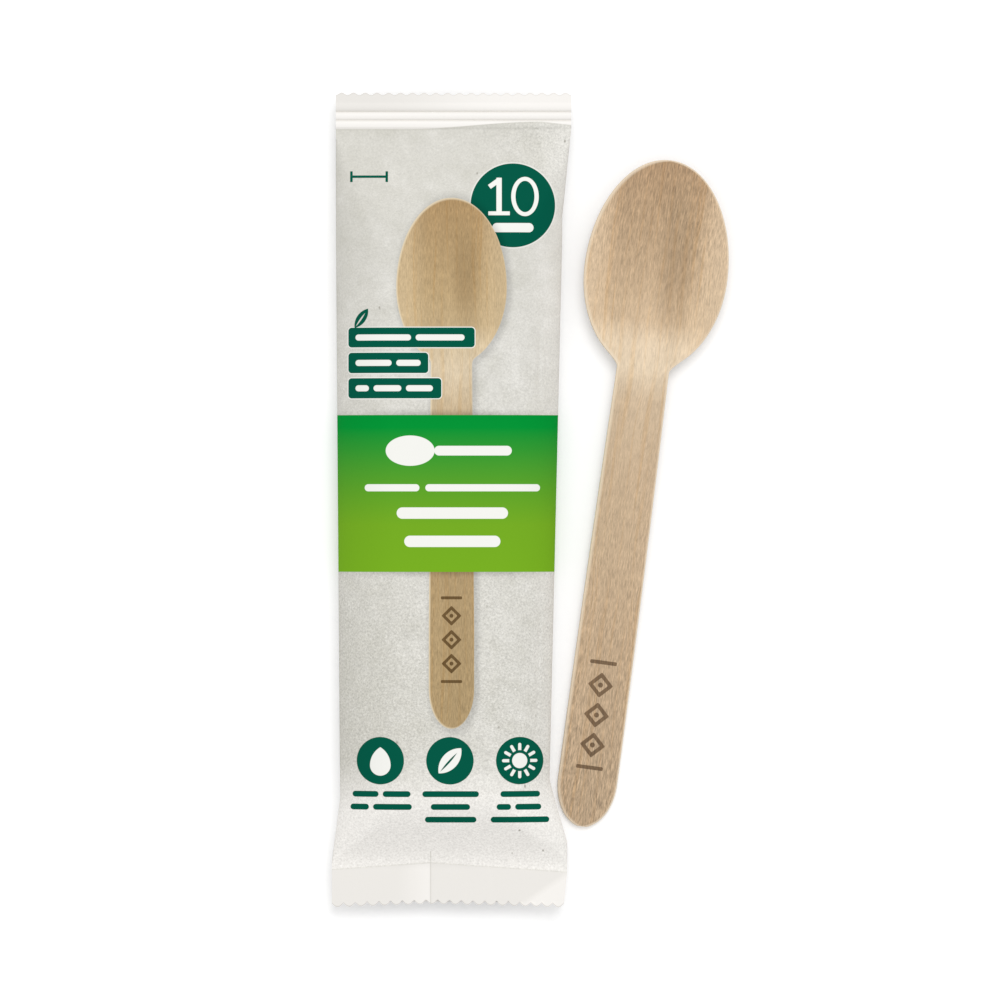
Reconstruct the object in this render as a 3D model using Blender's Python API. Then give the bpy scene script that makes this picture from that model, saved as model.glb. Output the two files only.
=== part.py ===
"""A sealed paper flow pack of wooden spoons, lying on its back, with one loose spoon beside it.

Metres, +Z up. Both lie on the plane z = 0, with their long sides near Y and the printed front
of the pack facing up. The origin is under the middle of the two together.
"""

import math

import bmesh
import bpy
from mathutils import Vector

MM = 0.001

# The spoon is stamped from birch veneer, and its bowl is pressed into the sheet.
SPOON_LENGTH = 160 * MM
VENEER_THICKNESS = 1.6 * MM
BOWL_WIDTH = 34.2 * MM
BOWL_LENGTH = 50.5 * MM
BOWL_POINT = 27.0 * MM  # from the widest place of the bowl to its far end
BOWL_DEPTH = 3.4 * MM
BOWL_DEEPEST = 31.0 * MM  # from the deepest place of the hollow to the bowl's far end
BOWL_RIM = 1.6 * MM  # the flat land left around the pressed hollow
HANDLE_WIDTH = 14.2 * MM
NECK_WIDTH = 12.5 * MM
NECK_FILLET = 3.2 * MM
TIP_LENGTH = 11 * MM  # of the handle's end, which is half an ellipse
NECK_SWEEP = 1.8  # power of the handle's slow narrowing to the neck
HOLLOW_SOFTNESS = 2  # power of the pressed hollow's profile, higher for a softer rim

# The wrapper is one sheet of paper, folded into a tube, closed by a fin seam along the back
# and crimped shut at both ends.
PACK_LENGTH = 193.8 * MM
FLAT_WIDTH = 56 * MM  # the empty tube pressed flat, which is the width of both end seals
TOP_SEAL = 8.6 * MM
BOTTOM_SEAL = 9 * MM
SEAL_THICKNESS = 0.5 * MM
SEAL_HEIGHT = 5.2 * MM  # of the end seals' middle above the table
FOLD_HEIGHT = 6.3 * MM  # of the side folds above the table
TOP_SEAL_SHIFT = 0.95 * MM  # the top seal sits a little to the right of the body
BODY_WIDTH = 53.8 * MM
WAIST_WIDTH = 49.7 * MM
BODY_SHIFT = -0.1 * MM
WAIST_SHIFT = -1.17 * MM
BODY_THICKNESS = 13.6 * MM
WAIST_THICKNESS = 15.6 * MM
TOP_SLOPE = 26 * MM  # along the pack, from the seal to the full body
BOTTOM_SLOPE = 17 * MM
TOP_FLARE = 21 * MM  # along the side folds, where they widen evenly to the seal's width
BOTTOM_FLARE = 15 * MM
FLARE_SKEW = 4.5 * MM  # at the lower end the right side widens this much higher than the left
BODY_CROWN = 30 * MM  # how wide the paper lies flat on the stack of bowls
WAIST_CROWN = 20 * MM  # and on the stack of handles
CROWN_RISE = 0.5 * MM
SHOULDER_FALL = 1.7  # power of the paper's fall from the crown
SHOULDER_BULGE = 0.75  # power that keeps it full above the side folds

# The fin seam is folded over against the back, and the pack rests on it.
FIN_LEFT = -4.5 * MM
FIN_WIDTH = 14 * MM
FIN_THICKNESS = 0.4 * MM
FIN_STEP = 0.3 * MM

# Three crimp ribs cross the top seal, and both ends are cut with a toothed knife.
RIB_COUNT = 3
RIB_PITCH = 2.02 * MM
RIB_RISE = 0.22 * MM
TEETH = 20
TOOTH_DEPTH = 0.9 * MM
KNIFE_DEPTH = 4 * MM  # of the knife's body behind its teeth

# The printed band runs round the pack.
BAND_TOP = 20.2 * MM
BAND_BOTTOM = -17.2 * MM

# How finely the surfaces are divided.
SPOON_ACROSS = 16
TIP_STATIONS = 8
HANDLE_STATIONS = 18
BOWL_STATIONS = 38
HANDLE_CROWDING = 1.5  # power that sets the handle's stations closer towards its end
END_STATION = 0.03 * MM  # from each end of the spoon to its first station
FRONT_POINTS = 26
BACK_POINTS_PER_SIDE = 8
SLOPE_STATIONS = 9
RIB_STATIONS = 4
BODY_STEP = 7.5 * MM

# The loose spoon lies beside the pack's waist.
SPOON_LEAN = math.radians(7.65)
SPOON_GAP = 1.9 * MM
SPOON_ABOVE_END = 19.2 * MM

BIRCH = ("birch", (0.62, 0.45, 0.29), 0.55)
PAPER = ("printed_paper", (0.72, 0.70, 0.66), 0.6)
BAND_GREEN = ("band_print", (0.07, 0.32, 0.03), 0.5)


def clear_scene():
    for obj in list(bpy.data.objects):
        bpy.data.objects.remove(obj)


def material(name, colour, roughness):
    made = bpy.data.materials.new(name)
    made.use_nodes = True
    shader = made.node_tree.nodes["Principled BSDF"]
    shader.inputs["Base Color"].default_value = (*colour, 1)
    shader.inputs["Roughness"].default_value = roughness
    shader.inputs["Metallic"].default_value = 0
    return made


def blend(low, high, share):
    return low + (high - low) * share


def ease(value, low, high):
    """0 at low and 1 at high, level at both ends."""
    share = min(max((value - low) / (high - low), 0), 1)
    return share * share * (3 - 2 * share)


def lofted(name, rings, finishes):
    """One closed solid through rings of points that all have the same count."""
    shell = bmesh.new()
    loops = []
    for ring in rings:
        corners = [shell.verts.new(point) for point in ring]
        pairs = zip(corners, corners[1:] + corners[:1])
        loops.append([shell.edges.new(pair) for pair in pairs])
    for below, above in zip(loops, loops[1:]):
        bmesh.ops.bridge_loops(shell, edges=below + above)
    for end in (loops[0], loops[-1]):
        bmesh.ops.contextual_create(shell, geom=end)
    bmesh.ops.recalc_face_normals(shell, faces=shell.faces)
    mesh = bpy.data.meshes.new(name)
    shell.to_mesh(mesh)
    shell.free()
    for finish in finishes:
        mesh.materials.append(material(*finish))
    obj = bpy.data.objects.new(name, mesh)
    bpy.context.scene.collection.objects.link(obj)
    return obj


# The spoon


def bowl_half_width(along):
    """Two half ellipses that share the bowl's widest place."""
    widest = SPOON_LENGTH - BOWL_POINT
    reach = BOWL_POINT if along > widest else BOWL_LENGTH - BOWL_POINT
    offset = (along - widest) / reach
    return BOWL_WIDTH / 2 * math.sqrt(max(1 - offset * offset, 0))


def handle_half_width(along):
    """Half an ellipse at the handle's end, and from there slowly narrower to the neck."""
    neck = SPOON_LENGTH - BOWL_LENGTH
    if along < TIP_LENGTH:
        offset = 1 - along / TIP_LENGTH
        return HANDLE_WIDTH / 2 * math.sqrt(max(1 - offset * offset, 0))
    share = min((along - TIP_LENGTH) / (neck - TIP_LENGTH), 1)
    return blend(HANDLE_WIDTH, NECK_WIDTH, share**NECK_SWEEP) / 2


def spoon_half_width(along):
    """The wider of handle and bowl, with a small fillet in the corner between them."""
    bowl = bowl_half_width(along)
    if along > SPOON_LENGTH - BOWL_POINT:
        return bowl
    handle = handle_half_width(along)
    near = max(NECK_FILLET - abs(bowl - handle), 0) / NECK_FILLET
    return max(bowl, handle) + near * near * NECK_FILLET / 4


def bowl_sink(across, along):
    """How far the press pushes the veneer down at a point of the spoon."""
    deepest = SPOON_LENGTH - BOWL_DEEPEST
    reach = BOWL_DEEPEST if along > deepest else BOWL_LENGTH - BOWL_DEEPEST
    off_end = (along - deepest) / (reach - BOWL_RIM)
    off_side = across / (BOWL_WIDTH / 2 - BOWL_RIM)
    off = min(math.hypot(off_end, off_side), 1)
    return BOWL_DEPTH * math.cos(off * math.pi / 2) ** HOLLOW_SOFTNESS


def spoon_ring(along):
    half = spoon_half_width(along)
    steps = [half * math.sin((i / SPOON_ACROSS - 0.5) * math.pi) for i in range(SPOON_ACROSS + 1)]
    under = [Vector((x, along, -bowl_sink(x, along))) for x in steps]
    lift = Vector((0, 0, VENEER_THICKNESS))
    return under + [point + lift for point in reversed(under)]


def spoon_stations():
    """Places along the spoon, closer together at the ends and around the neck."""
    neck = SPOON_LENGTH - BOWL_LENGTH
    middle = neck + BOWL_LENGTH / 2
    stations = []
    for i in range(TIP_STATIONS):
        turn = i / TIP_STATIONS * math.pi / 2
        stations.append(blend(TIP_LENGTH, END_STATION, math.cos(turn)))
    for i in range(HANDLE_STATIONS):
        share = (i / HANDLE_STATIONS) ** HANDLE_CROWDING
        stations.append(blend(TIP_LENGTH, neck - NECK_FILLET, share))
    for i in range(BOWL_STATIONS + 1):
        turn = i / BOWL_STATIONS * math.pi
        stations.append(middle - (BOWL_LENGTH / 2 - END_STATION) * math.cos(turn))
    return stations


def make_spoon():
    spoon = lofted("loose_spoon", [spoon_ring(y) for y in spoon_stations()], [BIRCH])
    spoon.data.shade_smooth()
    spoon.data.set_sharp_from_angle(angle=math.radians(40))
    return spoon


# The wrapper

END = PACK_LENGTH / 2
TOP_SEAM = END - TOP_SEAL
BOTTOM_SEAM = -END + BOTTOM_SEAL
BODY_TOP = TOP_SEAM - TOP_SLOPE
BODY_BOTTOM = BOTTOM_SEAM + BOTTOM_SLOPE


def body_share(along):
    """1 at the upper end of the body, 0 at its waist."""
    return min(max((along - BODY_BOTTOM) / (BODY_TOP - BODY_BOTTOM), 0), 1)


def fullness(along):
    """0 in the flat seals and 1 in the body."""
    return min(ease(along, BOTTOM_SEAM, BODY_BOTTOM), ease(along, TOP_SEAM, BODY_TOP))


def flare(along, skew):
    """0 along the body and 1 in the flat seals: how far a side fold has moved outwards."""
    upper = (along - TOP_SEAM + TOP_FLARE) / TOP_FLARE
    lower = (BODY_BOTTOM + skew - along) / BOTTOM_FLARE
    return min(max(upper, lower, 0), 1)


def edge_at(along, side):
    """Where one side fold lies, the left one for -1 and the right one for 1."""
    share = body_share(along)
    width = blend(WAIST_WIDTH, BODY_WIDTH, share)
    body = blend(WAIST_SHIFT, BODY_SHIFT, share) + side * width / 2
    seal = (TOP_SEAL_SHIFT if along > 0 else 0) + side * FLAT_WIDTH / 2
    return blend(body, seal, flare(along, FLARE_SKEW if side > 0 else 0))


def centre_at(along):
    return (edge_at(along, -1) + edge_at(along, 1)) / 2


def half_width_at(along):
    return (edge_at(along, 1) - edge_at(along, -1)) / 2


def rib_lift(along):
    """The crimp ribs raise the whole seal, so its front and back stay parallel."""
    into = along - TOP_SEAM
    if not 0 < into < RIB_COUNT * RIB_PITCH:
        return 0
    return RIB_RISE * (1 - math.cos(into / RIB_PITCH * 2 * math.pi)) / 2


def heights_at(along):
    """Height of the side folds, and how far front and back stand from there."""
    thickness = blend(WAIST_THICKNESS, BODY_THICKNESS, body_share(along))
    full = fullness(along)
    fold = blend(SEAL_HEIGHT, FOLD_HEIGHT, full) + rib_lift(along)
    front = blend(SEAL_THICKNESS / 2, thickness - FOLD_HEIGHT, full)
    back = blend(SEAL_THICKNESS / 2, FOLD_HEIGHT - FIN_THICKNESS, full)
    return fold, front, back


def shoulder(across, along):
    """1 over the stack of spoons, falling in a round shoulder to 0 at the side folds.

    Towards the seals the level part widens to the full width, which leaves a crease from
    each corner of the stack to the corner of the seal.
    """
    half = half_width_at(along)
    crown = blend(WAIST_CROWN, BODY_CROWN, body_share(along))
    level = blend(half, crown / 2, fullness(along))
    off = min(max(abs(across) - level, 0) / max(half - level, SEAL_THICKNESS), 1)
    return (1 - off**SHOULDER_FALL) ** SHOULDER_BULGE


def wrapper_ring(along):
    centre = centre_at(along)
    half = half_width_at(along)
    fold, front, back = heights_at(along)
    dome = CROWN_RISE * fullness(along)
    ring = []
    for i in range(FRONT_POINTS + 1):
        x = half * math.sin((i / FRONT_POINTS - 0.5) * math.pi)
        rise = dome * (1 - (x / half) ** 2)
        ring.append(Vector((centre + x, along, fold + (front + rise) * shoulder(x, along))))
    fin_left = centre + FIN_LEFT
    fin_right = fin_left + FIN_WIDTH
    turns = [i / (BACK_POINTS_PER_SIDE + 1) * math.pi / 2 for i in range(1, BACK_POINTS_PER_SIDE + 1)]
    right_side = [blend(fin_right - centre, half, math.cos(turn)) for turn in turns]
    left_side = [blend(fin_left - centre, -half, math.cos(turn)) for turn in reversed(turns)]
    for x in right_side:
        ring.append(Vector((centre + x, along, fold - back * shoulder(x, along))))
    under = fold - back
    ring.append(Vector((fin_right + FIN_STEP, along, under)))
    ring.append(Vector((fin_right, along, under - FIN_THICKNESS)))
    ring.append(Vector((fin_left, along, under - FIN_THICKNESS)))
    ring.append(Vector((fin_left - FIN_STEP, along, under)))
    for x in left_side:
        ring.append(Vector((centre + x, along, fold - back * shoulder(x, along))))
    return ring


def wrapper_stations():
    """Places along the pack: both seals, both slopes, the body and the edges of the band."""
    def even(low, high, count):
        return [blend(low, high, (i + 1) / count) for i in range(count)]

    def body(low, high):
        return even(low, high, max(round((high - low) / BODY_STEP), 1))

    ribs_end = TOP_SEAM + RIB_COUNT * RIB_PITCH
    stations = [-END, blend(-END, BOTTOM_SEAM, 0.5), BOTTOM_SEAM]
    stations += even(BOTTOM_SEAM, BODY_BOTTOM, SLOPE_STATIONS)
    stations += body(BODY_BOTTOM, BAND_BOTTOM)
    stations += body(BAND_BOTTOM, BAND_TOP)
    stations += body(BAND_TOP, BODY_TOP)
    stations += even(BODY_TOP, TOP_SEAM, SLOPE_STATIONS)
    stations += even(TOP_SEAM, ribs_end, RIB_COUNT * RIB_STATIONS)
    stations += [END]
    return stations


def knife(name, end, outward, centre):
    """The toothed knife: a prism whose inner edge is a zigzag across one end of the pack.

    It has one tooth more than the pack on either side, so it runs past both edges.
    """
    pitch = FLAT_WIDTH / TEETH
    reach = FLAT_WIDTH / 2 + pitch
    outline = []
    for i in range(2 * (TEETH + 2) + 1):
        depth = TOOTH_DEPTH if i % 2 else 0
        outline.append((centre - reach + i * pitch / 2, end - outward * depth))
    outline.append((centre + reach, end + outward * KNIFE_DEPTH))
    outline.append((centre - reach, end + outward * KNIFE_DEPTH))
    tool = bmesh.new()
    face = tool.faces.new([tool.verts.new((x, y, 0)) for x, y in outline])
    grown = bmesh.ops.extrude_face_region(tool, geom=[face])["geom"]
    raised = [part for part in grown if isinstance(part, bmesh.types.BMVert)]
    bmesh.ops.translate(tool, verts=raised, vec=(0, 0, 2 * SEAL_HEIGHT))
    bmesh.ops.recalc_face_normals(tool, faces=tool.faces)
    mesh = bpy.data.meshes.new(name)
    tool.to_mesh(mesh)
    tool.free()
    obj = bpy.data.objects.new(name, mesh)
    bpy.context.scene.collection.objects.link(obj)
    obj.hide_render = True
    obj.display_type = "WIRE"
    return obj


def make_wrapper(stand):
    rings = [wrapper_ring(y) for y in wrapper_stations()]
    wrapper = lofted("spoon_pack", rings, [PAPER, BAND_GREEN])
    for face in wrapper.data.polygons:
        if BAND_BOTTOM < face.center.y < BAND_TOP:
            face.material_index = 1
    wrapper.data.shade_smooth()
    wrapper.data.set_sharp_from_angle(angle=math.radians(35))
    for name, end, outward in (("top_knife", END, 1), ("bottom_knife", -END, -1)):
        cutter = knife(name, end, outward, centre_at(end))
        cutter.parent = stand
        cut = wrapper.modifiers.new(name, "BOOLEAN")
        cut.operation = "DIFFERENCE"
        cut.object = cutter
    wrapper.parent = stand
    return wrapper


def lay_spoon(spoon, stand):
    """The spoon rests on the bottom of its bowl and the end of its handle."""
    tilt = math.atan2(BOWL_DEPTH, SPOON_LENGTH - BOWL_DEEPEST)
    end_along = -END + SPOON_ABOVE_END
    beside = edge_at(end_along + TIP_LENGTH, 1) + SPOON_GAP + HANDLE_WIDTH / 2
    spoon.rotation_euler = (tilt, 0, -SPOON_LEAN)
    spoon.location = (beside - TIP_LENGTH * math.sin(SPOON_LEAN), end_along, 0)
    spoon.parent = stand
    bpy.context.view_layer.update()
    lowest = min((spoon.matrix_world @ vertex.co).z for vertex in spoon.data.vertices)
    spoon.location.z = -lowest


def centre_on_origin(stand, objects):
    """Moves everything so that the origin is under the middle of the two pieces."""
    bpy.context.view_layer.update()
    graph = bpy.context.evaluated_depsgraph_get()
    corners = []
    for obj in objects:
        shape = obj.evaluated_get(graph)
        corners += [obj.matrix_world @ vertex.co for vertex in shape.data.vertices]
    for axis in (0, 1):
        places = [corner[axis] for corner in corners]
        stand.location[axis] = -(min(places) + max(places)) / 2


def main():
    clear_scene()
    stand = bpy.data.objects.new("pack_and_spoon", None)
    bpy.context.scene.collection.objects.link(stand)
    wrapper = make_wrapper(stand)
    spoon = make_spoon()
    lay_spoon(spoon, stand)
    centre_on_origin(stand, [wrapper, spoon])


main()
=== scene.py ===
"""A sealed paper flow pack of ten wooden spoons, with one loose spoon lying beside it."""

import math

import bmesh
import bpy
from mathutils import Matrix, Vector, noise


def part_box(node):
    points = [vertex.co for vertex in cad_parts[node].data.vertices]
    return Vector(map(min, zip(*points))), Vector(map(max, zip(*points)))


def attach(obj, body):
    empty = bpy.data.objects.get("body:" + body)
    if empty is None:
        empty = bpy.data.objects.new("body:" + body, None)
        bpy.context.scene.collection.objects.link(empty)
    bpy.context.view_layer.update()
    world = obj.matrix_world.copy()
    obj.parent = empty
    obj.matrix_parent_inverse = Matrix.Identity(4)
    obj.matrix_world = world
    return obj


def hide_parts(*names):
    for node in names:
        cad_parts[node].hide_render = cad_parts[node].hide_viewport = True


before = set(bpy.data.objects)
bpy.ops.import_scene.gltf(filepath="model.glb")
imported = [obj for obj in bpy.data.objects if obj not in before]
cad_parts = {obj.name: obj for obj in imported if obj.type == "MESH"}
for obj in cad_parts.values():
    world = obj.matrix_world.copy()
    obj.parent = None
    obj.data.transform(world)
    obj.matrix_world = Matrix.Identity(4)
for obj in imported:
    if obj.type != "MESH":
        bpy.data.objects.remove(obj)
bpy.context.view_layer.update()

# The wrapper. One sheet of white paper, printed on its outside, is folded into a tube round ten
# spoons. Ribbed jaws crimp both ends flat, and a toothed knife cuts them off. Lengths are in
# millimetres, and x is measured from the middle of the flat tube.

MM = 0.001
FLAT_WIDTH = 56
PACK_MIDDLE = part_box("spoon_pack")[0].x / MM + FLAT_WIDTH / 2
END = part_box("spoon_pack")[1].y / MM
TOP_SEAM = END - 8.6
BOTTOM_SEAM = -END + 9
BODY_TOP = TOP_SEAM - 26
BODY_BOTTOM = BOTTOM_SEAM + 17
TOP_FLARE, BOTTOM_FLARE = 21, 15
FLARE_SKEW = 4.5
SEAL_THICKNESS = 0.5
SEAL_HEIGHT = 5.2
FOLD_HEIGHT = 6.3
FOLD_EDGE = 0.05
TOP_SEAL_SHIFT = 0.95
WAIST_SHIFT, BODY_SHIFT = -1.17, -0.1
WAIST_WIDTH, BODY_WIDTH = 49.7, 53.8
WAIST_THICKNESS, BODY_THICKNESS = 15.6, 13.6
WAIST_CROWN, BODY_CROWN = 20, 30
CROWN_RISE = 0.5
SHOULDER_FALL = 1.7
SHOULDER_BULGE = 0.75
FIN_THICKNESS = 0.4

RIB_COUNT = 3
RIB_PITCH = 2.02
RIB_RISE = 0.28
RIB_FLATNESS = 0.6
GROOVE_SINK = 0.22
TEETH = 20
UPPER_TOOTH, LOWER_TOOTH = 0.6, 0.95
TOOTH_ZONE = 1.6
FIN_LEFT = -4.5
FIN_WIDTH = 14
END_BOW = 0.85

COLUMNS = 160
# Stretches of rows along the tube: where each one ends, and how many rows it has.
STRETCHES = [
    (-END + TOOTH_ZONE, 7),
    (BOTTOM_SEAM, 20),
    (BODY_BOTTOM, 50),
    (BODY_TOP, 120),
    (TOP_SEAM, 54),
    (TOP_SEAM + RIB_COUNT * RIB_PITCH, 42),
    (END, 8),
]

PLEAT_DEPTH = 0.3
PLEAT_WIDTH, PLEAT_LENGTH = 6, 40
PLEAT_START, PLEAT_FULL = -1, 3
PLEAT_REACH = 9
SLACK_DEPTH = 0.14
SLACK_WIDTH = 22
RIPPLE_DEPTH = 0.05
RIPPLE_WIDTH, RIPPLE_LENGTH = 5, 11
UPPER_PLEATS, LOWER_PLEATS, SLACK, RIPPLE = 3.1, 7.7, 1.3, 5.9  # layers of one noise
FOLD_MARGIN = 3
SHARP_FOLD = math.radians(50)

# Creases of the paper: both ends, how deep, and how wide. Each runs on a little past its ends.
CREASE_OVERRUN = 0.1
CREASE_FADE = 0.25
CREASES = [
    ((-24.7, 62.8), (-4.5, 73.5), 0.2, 0.9),
    ((-26.5, 77.5), (-13.0, 87.0), 0.16, 1.3),
    ((-26.0, 84.0), (-15.5, 62.0), 0.22, 1.2),
    ((26.5, 84.0), (17.5, 64.0), 0.2, 1.1),
    ((23.5, 38.5), (13.0, 41.0), 0.12, 0.7),
    ((21.8, 41.0), (21.6, 21.0), 0.2, 0.5),
    ((22.4, -21.0), (21.6, -57.0), 0.16, 0.5),
    ((-25.5, -28.0), (-13.0, -22.0), 0.14, 1.1),
    ((-25.5, -58.0), (-8.0, -44.0), 0.14, 1.4),
    ((-26.0, -85.0), (-14.0, -70.0), 0.26, 1.0),
    ((26.0, -85.0), (15.0, -70.5), 0.26, 1.0),
]

# The lower seal's relief across the pack: the fin's layers press through it from behind, with a
# step at the fin's folded edge. Its right corner is bent up along a slanting line.
LOWER_RELIEF = [(-28, 0.0), (-9.7, 0.12), (-4.7, -0.1), (-4.3, 0.1), (9.0, 0.2), (10.3, 0.0), (28, 0.0)]
RELIEF_REACH = 11
LIFTED_FROM = Vector((27.7, -88.4))
LIFTED_ALONG = Vector((-0.83, -0.56))
LIFTED_SLOPE = 0.24
LIFTED_DRAW = 0.12
LIFTED_REACH = 4


def blend(low, high, share):
    return low + (high - low) * share


def ease(value, low, high):
    """0 at low and 1 at high, level at both ends."""
    share = min(max((value - low) / (high - low), 0), 1)
    return share * share * (3 - 2 * share)


def body_share(y):
    """1 at the upper end of the body, over the bowls, and 0 at its waist."""
    return min(max((y - BODY_BOTTOM) / (BODY_TOP - BODY_BOTTOM), 0), 1)


def fullness(y):
    """0 in the flat seals and 1 in the body."""
    return min(ease(y, BOTTOM_SEAM, BODY_BOTTOM), ease(y, TOP_SEAM, BODY_TOP))


def flare(y, skew):
    """0 along the body and 1 in the flat seals: how far a side fold has moved outwards."""
    upper = (y - TOP_SEAM + TOP_FLARE) / TOP_FLARE
    lower = (BODY_BOTTOM + skew - y) / BOTTOM_FLARE
    return min(max(upper, lower, 0), 1)


def edge_at(y, side):
    """Where one side fold lies, the left one for -1 and the right one for 1."""
    share = body_share(y)
    body = blend(WAIST_SHIFT, BODY_SHIFT, share) + side * blend(WAIST_WIDTH, BODY_WIDTH, share) / 2
    seal = (TOP_SEAL_SHIFT if y > 0 else 0) + side * FLAT_WIDTH / 2
    return blend(body, seal, flare(y, FLARE_SKEW if side > 0 else 0))


def middle_at(y):
    return (edge_at(y, -1) + edge_at(y, 1)) / 2


def half_width_at(y):
    return (edge_at(y, 1) - edge_at(y, -1)) / 2


def crimp_at(y):
    """Ribs with rounded tops and narrow grooves between them."""
    into = y - TOP_SEAM
    if not 0 < into < RIB_COUNT * RIB_PITCH:
        return 0
    rib = abs(math.sin(into / RIB_PITCH * math.pi)) ** RIB_FLATNESS
    sunk = GROOVE_SINK if RIB_PITCH / 2 < into < (RIB_COUNT - 0.5) * RIB_PITCH else 0
    return (RIB_RISE + sunk) * rib - sunk


def shoulder(x, y):
    """1 over the stack of spoons, falling in a round shoulder to 0 at the side folds."""
    half = half_width_at(y)
    crown = blend(WAIST_CROWN, BODY_CROWN, body_share(y))
    level = blend(half, crown / 2, fullness(y))
    off = min(max(abs(x) - level, 0) / max(half - level, SEAL_THICKNESS), 1)
    return (1 - off**SHOULDER_FALL) ** SHOULDER_BULGE


def crease_at(x, y):
    """How far the creases press the paper in at a point."""
    pressed = 0
    for start, end, depth, width in CREASES:
        run = Vector(end) - Vector(start)
        share = (Vector((x, y)) - Vector(start)).dot(run) / run.length_squared
        if -CREASE_OVERRUN < share < 1 + CREASE_OVERRUN:
            off = (Vector((x, y)) - Vector(start) - run * share).length
            fade = ease(share, -CREASE_OVERRUN, CREASE_FADE)
            fade *= 1 - ease(share, 1 - CREASE_FADE, 1 + CREASE_OVERRUN)
            pressed += depth * fade * math.exp(-((off / width) ** 2))
    return pressed


def pleats_at(x, y):
    """Pleats that run out of both seams, and the slack of the paper between them."""
    into = min(TOP_SEAM - y, y - BOTTOM_SEAM)
    near = ease(into, PLEAT_START, PLEAT_FULL) * math.exp(-max(into, 0) / PLEAT_REACH)
    layer = UPPER_PLEATS if y > 0 else LOWER_PLEATS
    pleat = noise.noise(Vector((x / PLEAT_WIDTH, y / PLEAT_LENGTH, layer)))
    slack = noise.noise(Vector((x / SLACK_WIDTH, y / SLACK_WIDTH, SLACK)))
    ripple = noise.noise(Vector((x / RIPPLE_WIDTH, y / RIPPLE_LENGTH, RIPPLE)))
    loose = SLACK_DEPTH * slack + RIPPLE_DEPTH * ripple
    return PLEAT_DEPTH * near * pleat + fullness(y) * loose


def pressed_through(x, y):
    """How far the fin's layers stand out through the lower seal, fading into the slope above."""
    here = 0
    for (left, low), (right, high) in zip(LOWER_RELIEF, LOWER_RELIEF[1:]):
        if left <= x <= right:
            here = blend(low, high, (x - left) / (right - left))
    return here * (1 - ease(y, BOTTOM_SEAM, BOTTOM_SEAM + RELIEF_REACH))


def bent_corner(x, y):
    """How far a point lies in the lower seal's bent right corner."""
    across = Vector((-LIFTED_ALONG.y, LIFTED_ALONG.x))
    beyond = (Vector((x, y)) - LIFTED_FROM).dot(across)
    return max(beyond, 0) * (1 - ease(y, BOTTOM_SEAM, BOTTOM_SEAM + LIFTED_REACH))


def wrapper_rows():
    """Places along the tube, close together in the seals and wider apart in the body."""
    start = -END
    rows = [start]
    for end, count in STRETCHES:
        rows += [blend(start, end, (i + 1) / count) for i in range(count)]
        start = end
    return rows


def knife_cut(x, y):
    """How far the toothed knife leaves the paper short of the straight end.

    The lower end is drawn in where the fin's thick layers meet the knife.
    """
    near = ease(abs(y), END - TOOTH_ZONE, END)
    turn = x / FLAT_WIDTH * TEETH * math.pi
    if y > 0:
        return near * UPPER_TOOTH * math.cos(turn) ** 2
    side = FLAT_WIDTH / 2 + (FIN_LEFT if x < FIN_LEFT else -FIN_LEFT)
    drawn = END_BOW * (1 - abs(x - FIN_LEFT) / side)
    return -near * (LOWER_TOOTH * (1 - abs(math.sin(turn))) + max(drawn, 0))


def wrapper_point(column, y, face):
    """The place of one point of the front, where face is 1, or of the back, where it is -1."""
    half = half_width_at(y)
    full = fullness(y)
    x = half * blend(column, math.sin(column * math.pi / 2), full)
    thickness = blend(WAIST_THICKNESS, BODY_THICKNESS, body_share(y))
    bent = bent_corner(x, y)
    fold = blend(SEAL_HEIGHT, FOLD_HEIGHT, full) + crimp_at(y) + LIFTED_SLOPE * bent
    if face > 0:
        stand = blend(SEAL_THICKNESS / 2, thickness - FOLD_HEIGHT, full)
        stand += CROWN_RISE * full * (1 - (x / half) ** 2)
    else:
        stand = blend(SEAL_THICKNESS / 2, FOLD_HEIGHT - FIN_THICKNESS, full)
    height = max(stand * shoulder(x, y), FOLD_EDGE)
    inside = ease(half - abs(x), 0, FOLD_MARGIN)
    if face > 0:
        height += inside * (pleats_at(x, y) - crease_at(x, y))
        height += pressed_through(x, y)
    place = PACK_MIDDLE + middle_at(y) + x - LIFTED_DRAW * bent
    return Vector((place, y - knife_cut(x, y), fold + face * height))


def add_mesh(name, shell):
    """A piece from a bmesh in millimetres, shaded smooth but for its sharp folds."""
    bmesh.ops.scale(shell, vec=(MM, MM, MM), verts=shell.verts)
    mesh = bpy.data.meshes.new(name)
    shell.to_mesh(mesh)
    shell.free()
    mesh.shade_smooth()
    mesh.set_sharp_from_angle(angle=SHARP_FOLD)
    piece = bpy.data.objects.new(name, mesh)
    bpy.context.scene.collection.objects.link(piece)
    return piece


def add_faces(shell, columns, rows, put):
    """A front and a back joined round their rims: each is a grid, and put places its points."""
    rims = []
    for face in (1, -1):
        grid = bmesh.ops.create_grid(shell, x_segments=columns, y_segments=rows, size=1)["verts"]
        for vert in grid:
            put(vert, face)
        faces = list({f for vert in grid for f in vert.link_faces})
        if face < 0:
            bmesh.ops.reverse_faces(shell, faces=faces)
        rims += [edge for edge in {e for f in faces for e in f.edges} if edge.is_boundary]
    bmesh.ops.bridge_loops(shell, edges=rims)


def make_wrapper():
    rows = wrapper_rows()
    shell = bmesh.new()
    printed = shell.verts.layers.float.new("printed_side")
    cut = shell.verts.layers.float.new("from_cut")

    def put(vert, face):
        y = rows[round((vert.co.y + 1) / 2 * (len(rows) - 1))]
        vert[printed] = max(face, 0)
        vert[cut] = END - abs(y)
        vert.co = wrapper_point(vert.co.x, y, face)

    add_faces(shell, COLUMNS, len(rows) - 1, put)
    return add_mesh("paper_wrapper", shell)


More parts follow.
